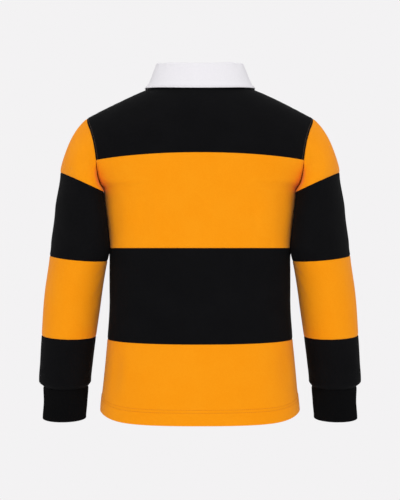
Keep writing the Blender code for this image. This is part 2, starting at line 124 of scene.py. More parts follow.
def jerseyMaterial(name, dye):
    finish = jersey | dye
    material, tree = newMaterial(name, finish)
    calc = functools.partial(maths, tree)
    along, down, _ = clothMap(tree)
    wale = calc("FRACT", calc("DIVIDE", along, finish["wale"]))
    leg = calc("ABSOLUTE", calc("SUBTRACT", calc("MULTIPLY", wale, 2.0), 1.0))
    slant = calc("ADD", calc("DIVIDE", down, finish["course"]), calc("MULTIPLY", leg, finish["loopSlant"]))
    course = calc("SINE", calc("MULTIPLY", slant, 2 * math.pi))
    rounded = calc("SINE", calc("MULTIPLY", leg, math.pi))
    deep = finish["courseDepth"]
    loops = calc("MULTIPLY", rounded, calc("ADD", calc("MULTIPLY", course, deep), 1 - deep))
    nap, cloud = noise(tree, finish["napScale"], 3.0), noise(tree, finish["cloudScale"], 2.0)
    share = finish["cloudShare"]
    tone = calc("ADD", calc("MULTIPLY", nap, 1 - share), calc("MULTIPLY", cloud, share))
    low, high = finish["toneRange"]
    tone = addNode(tree, "ShaderNodeMapRange", {"Value": tone, "From Min": low, "From Max": high}).outputs[0]
    base = mixColour(tree, tone, linear(finish["colour"]), linear(finish["pale"]))
    # painted shade: the gaps between the loops are mixed towards the deep colour
    gaps = calc("MULTIPLY", calc("SUBTRACT", 1.0, loops), finish["paintedGapShade"])
    height = calc("ADD", loops, calc("MULTIPLY", nap, finish["napHeight"]))
    paint(tree, mixColour(tree, gaps, base, linear(finish["deep"])), height, finish)
    return material


# Cotton drill, woven in a close twill and pressed flat. It gives the eye fine slanting cords, matt and
# bright, with painted shade in the grooves between the cords and slubs that change the tone at random;
# the shade colour serves both.
drill = {
    "colour": "#EFEDF1", "shade": "#E3E1E6", "cord": 0.0009, "slopeAcross": 0.7, "threadPerCord": 0.6,
    "cordShare": 0.35, "threadShare": 0.12, "slubScale": 300.0, "slubShade": 0.5, "paintedGrooveShade": -0.4,
    "roughness": 0.78, "sheen": 0.02, "sheenRoughness": 0.5, "specular": 0.12, "bump": 0.5, "relief": 0.00008,
}


def drillMaterial(name):
    material, tree = newMaterial(name, drill)
    calc = functools.partial(maths, tree)
    along, down, _ = clothMap(tree)
    slanted = calc("ADD", calc("MULTIPLY", along, drill["slopeAcross"]), down)
    cords = calc("SINE", calc("MULTIPLY", slanted, 2 * math.pi / drill["cord"]))
    threads = calc("SINE", calc("MULTIPLY", along, 2 * math.pi / (drill["cord"] * drill["threadPerCord"])))
    fine = calc("MULTIPLY", threads, drill["threadShare"])
    weave = calc("MULTIPLY_ADD", cords, drill["cordShare"], fine)
    slubs = noise(tree, drill["slubScale"], 2.0)
    # painted shade: where the weave is low, in the grooves, the tone moves towards the shade colour; the
    # slubs add random tone
    tone = calc("MULTIPLY_ADD", slubs, drill["slubShade"], calc("MULTIPLY", weave, drill["paintedGrooveShade"]))
    tone = addNode(tree, "ShaderNodeClamp", {"Value": tone}).outputs[0]
    paint(tree, mixColour(tree, tone, linear(drill["colour"]), linear(drill["shade"])), weave, drill)
    return material


# Fine cotton rib. The ribs are in the mesh, so the material gives only small loops and nap, dull and dark.
rib = {
    "colour": "#0B0B0C", "groove": "#060607", "loop": 0.0010, "loopHeight": 0.3, "napScale": 500.0,
    "roughness": 0.94, "sheen": 0.005, "sheenRoughness": 0.45, "specular": 0.06,
    "bump": 0.4, "relief": 0.00008,
}


def ribMaterial(name):
    material, tree = newMaterial(name, rib)
    down = clothMap(tree)[1]
    loops = maths(tree, "SINE", maths(tree, "MULTIPLY", down, 2 * math.pi / rib["loop"]))
    nap = noise(tree, rib["napScale"], 3.0)
    height = maths(tree, "MULTIPLY_ADD", loops, rib["loopHeight"], nap)
    paint(tree, mixColour(tree, nap, linear(rib["colour"]), linear(rib["groove"])), height, rib)
    return material


# Spun polyester sewing thread. It gives the eye two twisted plies, slightly brighter than the cloth under it.
thread = {
    "plyScale": 1500.0, "roughness": 0.55, "sheen": 0.0, "sheenRoughness": 0.5, "specular": 0.35,
    "bump": 0.4, "relief": 0.00005,
}


def threadMaterial(name, colour, shade):
    material, tree = newMaterial(name, thread)
    ply = noise(tree, thread["plyScale"], 1.0)
    paint(tree, mixColour(tree, ply, linear(colour), linear(shade)), ply, thread)
    return material


# Moulded soft rubber, satin. It gives the eye a faint mould texture with a little dust in it.
rubber = {
    "colour": "#E1E0DC", "dust": "#D3D1CC", "grainScale": 900.0, "roughRange": (0.42, 0.6),
    "roughness": 0.5, "sheen": 0.0, "sheenRoughness": 0.5, "specular": 0.45, "bump": 0.25, "relief": 0.00005,
}


def rubberMaterial(name):
    material, tree = newMaterial(name, rubber)
    grain = noise(tree, rubber["grainScale"], 3.0)
    low, high = rubber["roughRange"]
    rough = addNode(tree, "ShaderNodeMapRange", {"Value": grain, "To Min": low, "To Max": high}).outputs[0]
    tree.links.new(rough, tree.nodes["Principled BSDF"].inputs["Roughness"])
    paint(tree, mixColour(tree, grain, linear(rubber["colour"]), linear(rubber["dust"])), grain, rubber)
    return material


materials = {
    "amber": jerseyMaterial("Amber heavy cotton jersey", amberJersey),
    "black": jerseyMaterial("Black heavy cotton jersey", blackJersey),
    "rib": ribMaterial("Black fine cotton rib"),
    "drill": drillMaterial("White cotton twill drill"),
    "rubber": rubberMaterial("Moulded off-white rubber"),
    "blackThread": threadMaterial("Brown-black spun polyester thread", "#5E4A36", "#3B2F24"),
    "amberThread": threadMaterial("Amber spun polyester thread", "#E58E14", "#C87607"),
    "whiteThread": threadMaterial("White spun polyester thread", "#EDEBEE", "#D5D3D8"),
}
print("materials:", len(materials))


def addObject(name, data):
    obj = bpy.data.objects.new(name, data)
    bpy.context.scene.collection.objects.link(obj)
    return obj


def meshFrom(name, bm):
    mesh = bpy.data.meshes.new(name)
    bm.to_mesh(mesh)
    bm.free()
    return mesh


def baked(obj):
    # the mesh that its modifiers make; the object itself goes
    evaluated = obj.evaluated_get(bpy.context.evaluated_depsgraph_get())
    made = bpy.data.meshes.new_from_object(evaluated)
    made.polygons.foreach_set("use_smooth", [True] * len(made.polygons))
    bpy.data.objects.remove(obj)
    return made


def wear(obj):
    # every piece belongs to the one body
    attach(obj, "root")


def hermite(t, start, startSlope, end, endSlope):
    return ((2 * t**3 - 3 * t**2 + 1) * start + (t**3 - 2 * t**2 + t) * startSlope
            + (3 * t**2 - 2 * t**3) * end + (t**3 - t**2) * endSlope)


def bell(distance, width):
    return np.exp(-(distance / width) ** 2)


def lengthsAlong(points):
    return np.concatenate([[0], np.cumsum(np.linalg.norm(np.diff(points, axis=0), axis=1))])


def sizeAt(table, column, at):
    # a smooth curve through one column of a table that never goes past its rows
    stations = np.array([row[0] for row in table["rows"]])
    values = np.array([row[table["columns"].index(column)] for row in table["rows"]])
    at = np.clip(at, stations[0], stations[-1])
    gaps = np.diff(stations)
    rises = np.diff(values) / gaps
    slopes = np.zeros(len(values))
    same = rises[:-1] * rises[1:] > 0
    slopes[1:-1][same] = (2 * rises[:-1] * rises[1:])[same] / (rises[:-1] + rises[1:])[same]
    i = np.clip(np.searchsorted(stations, at, side="right") - 1, 0, len(rises) - 1)
    t = (at - stations[i]) / gaps[i]
    return hermite(t, values[i], slopes[i] * gaps[i], values[i + 1], slopes[i + 1] * gaps[i])


# lengths in metres and angles in degrees; the back faces +y and the wearer's left is +x
body = {
    "shoulderPeak": 0.0138, "shoulderSlope": 0.610, "shoulderRounding": 0.100,
    "archBase": -0.125, "archPower": {"back": 1.9, "front": 1.8},
    "yokeSeam": -0.1135, "yokeSeamDip": 0.0085, "chestSeam": -0.258,
    "waistSeam": -0.4035, "waistSeamRise": 0.002, "hem": -0.5255, "hemRise": 0.012, "hemCurvePower": 8,
    "underarm": -0.165, "neckHalfWidth": 0.069, "neckDepth": {"back": 0.041, "front": 0.066},
    "wall": 0.0014, "rows": 60, "armholeRows": 34, "sideRows": 52,
    "halfColumns": 88, "neckColumns": 30, "shoulderColumns": 56,
    "reach": {"yoke": 0.11, "halfRow": 0.18, "waist": 0.145, "hem": 0.12},  # about how much cloth that is
    "steadyX": 0.128, "steadyShare": 0.7,  # this share of the columns lies inside steadyX, straight down
}
torso = {
    "columns": ("height", "halfWidth", "back", "front", "power"),
    "rows": (
        (-0.530, 0.1590, 0.105, 0.099, 2.4),
        (-0.469, 0.1535, 0.103, 0.097, 2.5),
        (-0.403, 0.1471, 0.100, 0.095, 2.6),
        (-0.340, 0.1432, 0.096, 0.094, 2.9),
        (-0.280, 0.1430, 0.095, 0.095, 3.2),
        (-0.252, 0.1443, 0.095, 0.095, 3.3),
        (-0.205, 0.1493, 0.096, 0.096, 3.15),
        (-0.182, 0.1517, 0.0965, 0.0955, 2.85),
        (-0.165, 0.1530, 0.097, 0.095, 2.8),
        (-0.157, 0.1605, 0.097, 0.095, 2.8),
        (-0.146, 0.1705, 0.0975, 0.094, 2.6),
        (-0.125, 0.1860, 0.098, 0.092, 2.4),
    ),
}
armhole = {
    "columns": ("height", "x"),
    "rows": ((-0.1650, 0.1530), (-0.1570, 0.1560), (-0.1457, 0.1584), (-0.1230, 0.1608),
             (-0.0948, 0.1660), (-0.0757, 0.1720), (-0.0520, 0.1805)),
}
ringColumns = ("height", "x", "y", "halfWidth", "halfDepth", "slant", "pitch", "yaw")
sleeve = {
    "columns": ringColumns,
    "rows": (
        (-0.479, 0.2152, -0.006, 0.0358, 0.0352, 0.5, 4.0, 0.0),
        (-0.471, 0.2165, -0.005, 0.0415, 0.0409, 1.0, 4.5, 0.0),
        (-0.440, 0.2137, -0.002, 0.0420, 0.0425, 1.5, 4.5, 0.0),
        (-0.397, 0.2090, 0.004, 0.0432, 0.0440, 2.0, 4.5, 0.0),
        (-0.340, 0.2022, 0.012, 0.0450, 0.0470, 3.0, 4.2, 4.0),
        (-0.2735, 0.1915, 0.023, 0.0448, 0.0540, 5.0, 4.0, 22.0),
        (-0.252, 0.1878, 0.028, 0.0421, 0.0590, 6.5, 4.0, 35.0),
        (-0.210, 0.1864, 0.030, 0.0364, 0.0575, 13.0, 3.0, 36.0),
        (-0.154, 0.1859, 0.022, 0.0355, 0.0570, 24.0, 0.0, 24.0),
    ),
    "seams": {"head": -0.154, "upper": -0.2735, "elbow": -0.397, "forearm": -0.479},
    "fullness": 0.88, "dip": (38.0, 86.0), "headCalm": 0.8,
    "columnsRound": 152, "rowsEach": 44, "wall": 0.0014, "headReach": 0.09, "headGap": 0.0003,
}
cuff = {
    "columns": ringColumns,
    "rows": (
        (-0.531, 0.2180, -0.009, 0.0346, 0.0325, 0.0, 4.0, 0.0),
        (-0.505, 0.2160, -0.008, 0.0347, 0.0328, 0.0, 4.0, 0.0),
        (-0.479, 0.2152, -0.006, 0.0358, 0.0352, 0.5, 4.0, 0.0),
    ),
    "wall": 0.0021, "ribs": 108, "columnsPerRib": 6, "ribHeight": 0.00022, "ribFade": 0.003,
    "length": 0.049, "firstEvenRow": 0.06, "evenRows": 12, "foldAngles": (25, 50, 75, 90, 105, 130, 155),
}


# The body is a stack of rounded sections up to the arch's base, and an arch over the shoulders above it.
def superellipse(fraction, power):
    return np.clip(1 - np.abs(fraction) ** power, 0, None) ** (1 / power)


def shoulderHeight(x):
    rounding = body["shoulderRounding"]
    return body["shoulderPeak"] - body["shoulderSlope"] * (np.hypot(x, rounding) - rounding)


def sectionDepth(x, height, side):
    fraction = x / sizeAt(torso, "halfWidth", height)
    return sizeAt(torso, side, height) * superellipse(fraction, sizeAt(torso, "power", height))


def archDepth(x, side):
    return sectionDepth(x, body["archBase"] + 0 * x, side)


def outOf(side):
    return 1 if side == "back" else -1


def archPoint(x, angle, side):
    # over the shoulders: 90 degrees is the shoulder seam, 0 the arch's base
    power = 2 / body["archPower"][side]
    depth = archDepth(x, side) * np.clip(np.cos(angle), 0, None) ** power
    rise = (shoulderHeight(x) - body["archBase"]) * np.sin(angle) ** power
    return np.stack([x, outOf(side) * depth, body["archBase"] + rise], axis=-1)


def archAngle(x, height, side):
    rise = (height - body["archBase"]) / (shoulderHeight(x) - body["archBase"])
    return np.arcsin(np.clip(rise, 0, 1) ** (body["archPower"][side] / 2))


def archHeight(x, y, side):
    share = superellipse(y / archDepth(x, side), body["archPower"][side])
    return body["archBase"] + (shoulderHeight(x) - body["archBase"]) * share


def torsoPoint(x, height, side):
    depth = sectionDepth(x, np.minimum(height, body["archBase"]), side)
    rise = np.clip((height - body["archBase"]) / (shoulderHeight(x) - body["archBase"]), 0, 1)
    depth = depth * superellipse(rise, body["archPower"][side])
    return np.stack([x, outOf(side) * depth, height], axis=-1)


def yokeSeamAt(out):
    return body["yokeSeam"] - body["yokeSeamDip"] * out**2


def chestSeamAt(out):
    return body["chestSeam"] + 0 * out


def waistSeamAt(out):
    return body["waistSeam"] + body["waistSeamRise"] * out**2


def hemAt(out):
    return body["hem"] + body["hemRise"] * out ** body["hemCurvePower"]


def yokeAngle(x, fraction, side):
    y = body["neckDepth"][side] * superellipse(x / body["neckHalfWidth"], 2)
    top = np.arccos((y / archDepth(x, side)) ** (body["archPower"][side] / 2))
    cornerX = sizeAt(armhole, "x", yokeSeamAt(1.0))
    return top + (archAngle(x, yokeSeamAt(x / cornerX), side) - top) * fraction


def armholeX(fraction, side):
    x = sizeAt(armhole, "x", 0 * fraction)
    for _ in range(8):
        x = sizeAt(armhole, "x", archPoint(x, yokeAngle(x, fraction, side), side)[..., 2])
    return x


edgeSteps = np.array([0, 0.0004, 0.0009, 0.0016, 0.0026, 0.0040])


def steps(count, length):
    # even steps along this much cloth, with narrow ones in the rolled edge at each end
    edge = edgeSteps / length
    return np.concatenate([edge, np.linspace(edge[-1], 1 - edge[-1], count)[1:-1], 1 - edge[::-1]])


def yokePoints(side, fromX=0.0):
    startTurn = math.asin(fromX / body["neckHalfWidth"])
    neck = body["neckHalfWidth"] * np.sin(np.linspace(startTurn, math.pi / 2, body["neckColumns"]))
    across = np.linspace(0, 1, body["shoulderColumns"])
    grid = []
    for fraction in steps(body["rows"], body["reach"]["yoke"]):
        edge = armholeX(np.array([fraction]), side)[0]
        xs = np.concatenate([neck[:-1], body["neckHalfWidth"] + (edge - body["neckHalfWidth"]) * across])
        xs[-2] = edge - edgeSteps[3]
        grid.append(archPoint(xs, yokeAngle(xs, fraction, side), side))
    half = np.array(grid)
    if fromX:
        return half
    return np.concatenate([half[:, :0:-1] * (-1, 1, 1), half], axis=1)


def sideEdge(height):
    # out to the armhole above the underarm, and to the side seam below it
    if height > body["underarm"]:
        return float(sizeAt(armhole, "x", height))
    return float(sizeAt(torso, "halfWidth", height))


def bandPoints(side, top, bottom, fractions):
    # rows of points round half the body, spaced along the cloth from the middle to each edge
    grid = []
    shares = steps(body["halfColumns"], body["reach"]["halfRow"])[5:]
    shares = (shares - shares[0]) / (1 - shares[0])
    for fraction in fractions:
        edgeHeight = top(1.0) + (bottom(1.0) - top(1.0)) * fraction
        edge = sideEdge(edgeHeight)
        turns = np.linspace(0, 1, 500) ** 1.5
        level = min(edgeHeight, body["archBase"])
        width, power = (float(sizeAt(torso, column, level)) for column in ("halfWidth", "power"))
        last = math.acos(min(1.0, edge / width) ** (power / 2))
        dense = width * np.cos(math.pi / 2 - (math.pi / 2 - last) * turns) ** (2 / power)
        dense[-1] = edge

        def rowAt(xs):
            out = xs / edge
            return torsoPoint(xs, top(out) + (bottom(out) - top(out)) * fraction, side)

        lengths = lengthsAlong(rowAt(dense))
        # the columns run straight down, and only those near the side lean with the edge
        inner = np.interp(body["steadyX"], dense, lengths)
        knee = body["steadyShare"]
        outer = inner + (shares - knee) / (1 - knee) * (lengths[-1] - inner)
        half = rowAt(np.interp(np.where(shares < knee, shares / knee * inner, outer), lengths, dense))
        grid.append(np.concatenate([half[:0:-1] * (-1, 1, 1), half]))
    return np.array(grid)


def armholeHeights(count):
    top = yokeSeamAt(1.0)
    return top + (body["underarm"] - top) * np.sin(np.linspace(0, math.pi / 2, count))


def chestFractions():
    top = yokeSeamAt(1.0)
    depth = top - body["chestSeam"]
    upper = (top - armholeHeights(body["armholeRows"])) / depth
    below = upper[-1] + (1 - upper[-1]) * np.linspace(0, 1, body["sideRows"])[1:]
    edge = edgeSteps / depth
    inner = np.concatenate([upper, below])
    inner = inner[(inner > edge[-1] * 1.2) & (inner < 1 - edge[-1] * 1.2)]
    return np.concatenate([edge, inner, 1 - edge[::-1]])


# The sleeves are rings round a hanging arm, and the head runs from the armhole seam into the first ring.
def ringPoint(table, height, turn, outward):
    # 0 is the outer side, 90 degrees the back, 180 the side next to the body
    x, y, halfWidth, halfDepth, *tilts = (sizeAt(table, column, height) for column in ringColumns[1:])
    slant, pitch, yaw = np.radians(tilts)
    out, back = halfWidth * np.cos(turn), halfDepth * np.sin(turn)
    out, back = out * np.cos(yaw) - back * np.sin(yaw), back * np.cos(yaw) + out * np.sin(yaw)
    z = height + out * np.sin(slant) - back * np.sin(pitch)
    return np.stack([outward * (x + out * np.cos(slant)), y + back * np.cos(pitch), z], axis=-1)


def ringTurns():
    return np.arange(sleeve["columnsRound"]) * 2 * math.pi / sleeve["columnsRound"]


def armholeRing(outward):
    # the armhole seam at even distances, round the back from the shoulder to the underarm and up the front
    halves = []
    for side in ("back", "front"):
        fractions = np.linspace(0, 1, 120)
        x = armholeX(fractions, side)
        upper = archPoint(x, yokeAngle(x, fractions, side), side)
        heights = armholeHeights(160)
        lower = torsoPoint(sizeAt(armhole, "x", heights), heights, side)
        loop = np.concatenate([upper, lower[1:]])
        lengths = lengthsAlong(loop)
        even = np.linspace(0, lengths[-1], sleeve["columnsRound"] // 2 + 1)
        halves.append(np.stack([np.interp(even, lengths, loop[:, i]) for i in range(3)], axis=-1))
    back, front = halves
    return np.concatenate([back, front[-2:0:-1]]) * (outward, 1, 1)


def headPoints(outward):
    low, step = sleeve["seams"]["head"], 0.001
    turns = ringTurns()
    share = ((1 - np.cos(turns)) / 2)[:, None]
    start = armholeRing(outward) + share * (outward * sleeve["headGap"], 0, 0)
    end = ringPoint(sleeve, low + 0 * turns, turns, outward)
    reach = np.linalg.norm(end - start, axis=1, keepdims=True) * sleeve["fullness"]
    down = (ringPoint(sleeve, low - step + 0 * turns, turns, outward) - end) / step * reach
    dip = np.radians(sleeve["dip"][0] + (sleeve["dip"][1] - sleeve["dip"][0]) * share)
    leave = np.concatenate([outward * np.cos(dip), 0 * dip, -np.sin(dip)], axis=1) * reach
    rows = steps(sleeve["rowsEach"], sleeve["headReach"])
    return np.array([hermite(t, start, leave, end, down) for t in rows])


def tubePoints(table, top, bottom, count, turns, outward):
    heights = top + (bottom - top) * steps(count, abs(top - bottom))
    return np.array([ringPoint(table, height + 0 * turns, turns, outward) for height in heights])


def normalsOf(grid, closed, centre):
    # the outward direction at each point, judged by the last row against the centre
    if closed:
        wide = np.concatenate([grid[:, -1:], grid, grid[:, :1]], axis=1)
        across = wide[:, 2:] - wide[:, :-2]
    else:
        across = np.gradient(grid, axis=1)
    down = np.gradient(grid, axis=0)
    normals = np.cross(across, down)
    normals /= np.linalg.norm(normals, axis=2, keepdims=True) + 1e-12
    sign = np.sign(((grid[-1] - centre) * normals[-1]).sum())
    return normals * sign, sign


def torsoNormals(grid, side):
    # across the row, and down the surface at one share of its width
    reach, z = 0.001, grid[..., 2]
    share = grid[..., 0] / sizeAt(torso, "halfWidth", z)
    high, low = (torsoPoint(share * sizeAt(torso, "halfWidth", level), level, side)
                 for level in (z + reach, z - reach))
    normals = np.cross(np.gradient(grid, axis=1), low - high)
    normals /= np.linalg.norm(normals, axis=2, keepdims=True) + 1e-12
    sign = np.sign((normals[..., 1] * outOf(side)).sum())
    return normals * sign, sign


def distances(grid, axis):
    # how far each point is along the cloth from the first and the last point of its row or column
    lengths = np.linalg.norm(np.diff(grid, axis=axis), axis=2)
    before = np.insert(np.cumsum(lengths, axis=axis), 0, 0, axis=axis)
    total = np.take(before, [-1], axis=axis)
    return before, total - before


def clothObject(name, grid, normalSign, colour, closed=False, ringed=False, keep=None, wall=None):
    rows, columns = grid.shape[:2]
    wide = np.concatenate([grid, grid[:, :1]], axis=1) if closed else grid
    tall = np.concatenate([wide, wide[:1]], axis=0) if ringed else wide
    u = distances(tall, 1)[0]
    v = distances(tall, 0)[0]
    u = u - u.mean(axis=1, keepdims=True)
    r, c = np.meshgrid(np.arange(tall.shape[0] - 1), np.arange(tall.shape[1] - 1), indexing="ij")
    corners = [(r, c), (r, c + 1), (r + 1, c + 1), (r + 1, c)]
    if normalSign < 0:
        corners = corners[::-1]
    chosen = np.ones(r.shape, bool) if keep is None else keep
    faces = np.stack([((a % rows) * columns + (b % columns))[chosen] for a, b in corners], axis=-1)
    uvs = np.stack([np.stack([u[a, b], v[a, b]], axis=-1)[chosen] for a, b in corners], axis=1)
    mesh = bpy.data.meshes.new(name)
    mesh.from_pydata(grid.reshape(-1, 3).tolist(), [], faces.tolist())
    layer = mesh.uv_layers.new(name="cloth")
    layer.data.foreach_set("uv", uvs.reshape(-1).astype(np.float32))
    mesh.polygons.foreach_set("use_smooth", [True] * len(mesh.polygons))
    if keep is not None:
        bm = bmesh.new()
        bm.from_mesh(mesh)
        bmesh.ops.delete(bm, geom=[vert for vert in bm.verts if not vert.link_faces], context="VERTS")
        bm.to_mesh(mesh)
        bm.free()
    mesh.materials.append(materials[colour])
    obj = addObject(name, mesh)
    if wall:
        shell = obj.modifiers.new("wall", "SOLIDIFY")
        shell.thickness = wall
        shell.offset = -1
        shell.use_even_offset = False
    wear(obj)
    return obj


# how the cloth lies: at a seam, hanging free, and in a fold
seamRoll = {
    "depth": 0.0007, "width": 0.0015, "pucker": 0.00013, "puckerReach": 0.009,
    "waves": ((1.0, 430, 1.1), (0.7, 291, 0.4), (0.5, 613, 2.0)),  # share, waves per metre x 2 pi, shift
}
slack = {
    "height": 0.00028, "phase": {"back": 0.7, "front": 2.9, "sleeve": 1.7},
    "waves": ((1.0, 41, 13, 1.0), (0.8, 67, -29, 2.1), (0.6, 23, 57, 3.7)),  # share, across, down, phase
    "seamReach": 0.008, "bodySeamShare": 0.25, "sleeveSeamShare": 0.2,  # what is left of the relief at a seam
    "besideBody": 22,  # degrees of sleeve that stay smooth next to the body
}
foldShape = {"fadePower": 0.9, "besideShare": 0.4, "besideReach": 1.9}


def seamRelief(distance, along):
    # cloth turns in at a seam and draws up a little beside it
    roll = -seamRoll["depth"] * bell(distance, seamRoll["width"])
    wave = sum(share * np.sin(along * rate + shift) for share, rate, shift in seamRoll["waves"])
    return roll + seamRoll["pucker"] * wave * np.exp(-distance / seamRoll["puckerReach"])


def settle(across, down, phase):
    # slow waves that hanging cloth keeps, less than a millimetre
    return slack["height"] * sum(share * np.sin(across * sideways + down * downward + turn * phase)
                                 for share, sideways, downward, turn in slack["waves"])


def foldRelief(across, down, folds):
    # each fold is a bowed line from one place to another, with a width and a depth (below zero is a trough)
    relief = np.zeros_like(across)
    for x1, z1, x2, z2, bow, width, depth in folds:
        dx, dz = x2 - x1, z2 - z1
        length = math.hypot(dx, dz)
        t = ((across - x1) * dx + (down - z1) * dz) / length**2
        aside = ((across - x1) * dz - (down - z1) * dx) / length - bow * (1 - (2 * t - 1) ** 2)
        fade = np.sin(math.pi * np.clip(t, 0, 1)) ** foldShape["fadePower"]
        ridge = foldShape["besideShare"] * bell(aside - foldShape["besideReach"] * width, width)
        relief += depth * fade * (bell(aside, width) - ridge)
    return relief


# x and height of both ends, bow, width, depth
bodyFolds = {
    "back": [
        (0.083, -0.170, 0.091, -0.236, 0.004, 0.009, -0.0010),
        (-0.080, -0.166, -0.090, -0.240, -0.004, 0.010, -0.0010),
        (0.129, -0.172, 0.127, -0.246, 0.002, 0.007, -0.0006),
        (-0.129, -0.170, -0.126, -0.248, -0.002, 0.007, -0.0006),
        (0.118, -0.300, 0.124, -0.390, 0.003, 0.008, -0.0009),
        (-0.119, -0.282, -0.121, -0.370, -0.004, 0.009, -0.0010),
        (0.060, -0.180, 0.040, -0.250, 0.006, 0.014, -0.0006),
        (-0.072, -0.330, -0.060, -0.395, 0.004, 0.012, -0.0006),
        (0.127, -0.410, 0.136, -0.490, 0.003, 0.008, -0.0013),
        (-0.128, -0.415, -0.137, -0.480, -0.003, 0.009, -0.0012),
        (0.030, -0.430, 0.038, -0.510, 0.004, 0.013, -0.0006),
        (-0.075, -0.440, -0.084, -0.515, -0.004, 0.012, -0.0007),
        (0.132, -0.080, 0.142, -0.122, 0.003, 0.008, -0.0008),
        (-0.130, -0.078, -0.141, -0.118, -0.003, 0.008, -0.0009),
    ],
    "front": [
        (0.108, -0.140, 0.088, -0.225, 0.005, 0.009, -0.0016),
        (-0.110, -0.144, -0.085, -0.215, -0.006, 0.010, -0.0014),
        (0.130, -0.168, 0.122, -0.250, 0.003, 0.007, -0.0018),
        (-0.131, -0.164, -0.124, -0.244, -0.003, 0.007, -0.0016),
        (0.018, -0.176, 0.046, -0.246, 0.004, 0.009, -0.0009),
        (-0.019, -0.177, -0.034, -0.238, -0.005, 0.010, -0.0008),
        (0.116, -0.275, 0.124, -0.385, 0.004, 0.009, -0.0012),
        (-0.115, -0.290, -0.123, -0.395, -0.004, 0.009, -0.0011),
        (-0.052, -0.300, -0.044, -0.385, 0.005, 0.014, -0.0008),
        (0.066, -0.320, 0.058, -0.392, -0.004, 0.012, -0.0007),
        (0.124, -0.412, 0.134, -0.500, 0.003, 0.009, -0.0014),
        (-0.125, -0.418, -0.135, -0.492, -0.003, 0.009, -0.0013),
        (0.050, -0.430, 0.058, -0.512, 0.005, 0.013, -0.0008),
        (-0.030, -0.425, -0.038, -0.505, -0.005, 0.012, -0.0007),
        (0.120, -0.088, 0.136, -0.124, 0.004, 0.008, -0.0010),
        (-0.118, -0.084, -0.134, -0.122, -0.004, 0.008, -0.0010),
    ],
}
# degrees round the sleeve and height of both ends, bow, width, depth
sleeveFolds = [
    (168, -0.186, 120, -0.205, 0.003, 0.006, -0.0012),
    (150, -0.212, 104, -0.226, 0.002, 0.007, -0.0007),
    (196, -0.196, 250, -0.226, -0.004, 0.007, -0.0016),
    (205, -0.228, 262, -0.250, -0.003, 0.008, -0.0012),
    (60, -0.118, 70, -0.160, 0.002, 0.008, -0.0008),
    (118, -0.110, 106, -0.165, -0.003, 0.008, -0.0009),
    (300, -0.115, 290, -0.170, 0.003, 0.008, -0.0010),
    (240, -0.120, 252, -0.176, -0.003, 0.007, -0.0011),
    (160, -0.281, 122, -0.300, 0.002, 0.005, -0.0007),
    (168, -0.292, 134, -0.346, 0.003, 0.006, -0.0006),
    (205, -0.286, 262, -0.303, -0.003, 0.007, -0.0016),
    (196, -0.315, 258, -0.330, -0.003, 0.008, -0.0014),
    (215, -0.345, 275, -0.350, 0.003, 0.008, -0.0011),
    (20, -0.300, 52, -0.345, 0.003, 0.010, -0.0006),
    (150, -0.408, 96, -0.428, 0.003, 0.008, -0.0008),
    (215, -0.412, 280, -0.432, -0.003, 0.008, -0.0010),
    (70, -0.446, 20, -0.466, 0.002, 0.006, -0.0008),
    (180, -0.450, 130, -0.468, -0.002, 0.006, -0.0010),
    (300, -0.448, 345, -0.467, 0.002, 0.006, -0.0009),
]
sleeveRadius = 0.046


def declare(node):
    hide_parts(node)


def fromSides(grid):
    # straight distance from the nearest point of the first and last columns, which curve round the armholes
    near = []
    for edge in (grid[:, 0], grid[:, -1]):
        quarters = [edge[:-1] + (edge[1:] - edge[:-1]) * t for t in (0, 0.25, 0.5, 0.75)]
        points = np.concatenate(quarters + [edge[-1:]])
        near.append(np.min([np.linalg.norm(grid - point, axis=2) for point in points], axis=0))
    return np.minimum(*near)


hem = {
    "depth": 0.0195, "twin": 0.0045, "thickness": 0.0005, "groove": 0.00045, "grooveWidth": 0.0009,
    "stepAbove": 0.001, "stepWidth": 0.0004,
}


def bodyRelief(grid, side, doubledHem):
    x, z = grid[..., 0], grid[..., 2]
    fromSide, along = fromSides(grid), distances(grid, 1)[0]
    fromTop, fromBottom = distances(grid, 0)
    relief = foldRelief(x, z, bodyFolds[side]) + settle(x, z, slack["phase"][side])
    calm = 1 - bell(np.minimum(fromSide, np.minimum(fromTop, fromBottom)), slack["seamReach"])
    relief = relief * (slack["bodySeamShare"] + (1 - slack["bodySeamShare"]) * calm)
    relief += seamRelief(fromTop, along) + seamRelief(fromSide, fromTop)
    if not doubledHem:
        return relief + seamRelief(fromBottom, along)
    # the turned-up hem is double, and each of its two rows of stitches pulls a small groove
    above = fromBottom - hem["depth"] - hem["twin"] - hem["stepAbove"]
    doubled = hem["thickness"] / (1 + np.exp(above / hem["stepWidth"]))
    grooves = sum(bell(fromBottom - hem["depth"] - extra, hem["grooveWidth"]) for extra in (0, hem["twin"]))
    return relief + doubled - hem["groove"] * grooves


def report(name, grid):
    across = distances(grid, 1)[0][:, -1]
    down = distances(grid, 0)[0][-1]
    a, b = np.diff(grid, axis=1)[:-1], np.diff(grid, axis=0)[:, :-1]
    area = np.linalg.norm(np.cross(a, b), axis=2).sum()
    print(f"  {name}: {across.max():.3f} x {down.max():.3f} m, {area:.4f} m2")


centre = np.array((0, 0, -0.25))
surfaces = {}  # the finished points and normals of each piece, which its stitches follow


def makePanel(part, side, grid, colour, keep=None, normals=None):
    name = f"cloth_{part}"
    report(name, grid)
    normals, sign = normals or normalsOf(grid, False, centre)
    finished = grid + normals * bodyRelief(grid, side, part.endswith("hem"))[..., None]
    surfaces[name] = (finished, normals)
    obj = clothObject(name, finished, sign, colour, keep=keep, wall=body["wall"])
    declare(part)


placket = {
    "halfWidth": 0.014, "tail": 0.008, "lift": 0.0019, "wall": 0.0015, "rows": 70, "columns": 29,
    "sink": 0.0007, "sideGap": 0.0002, "endGap": 0.0003,
    "stitchInset": 0.0022, "groove": 0.00022, "grooveWidth": 0.0008, "box": 0.010,
}


def placketEnd():
    share = (yokeSeamAt(1.0) - body["underarm"]) / (yokeSeamAt(1.0) - body["chestSeam"])
    return yokeSeamAt(0.0) + (body["chestSeam"] - yokeSeamAt(0.0)) * share


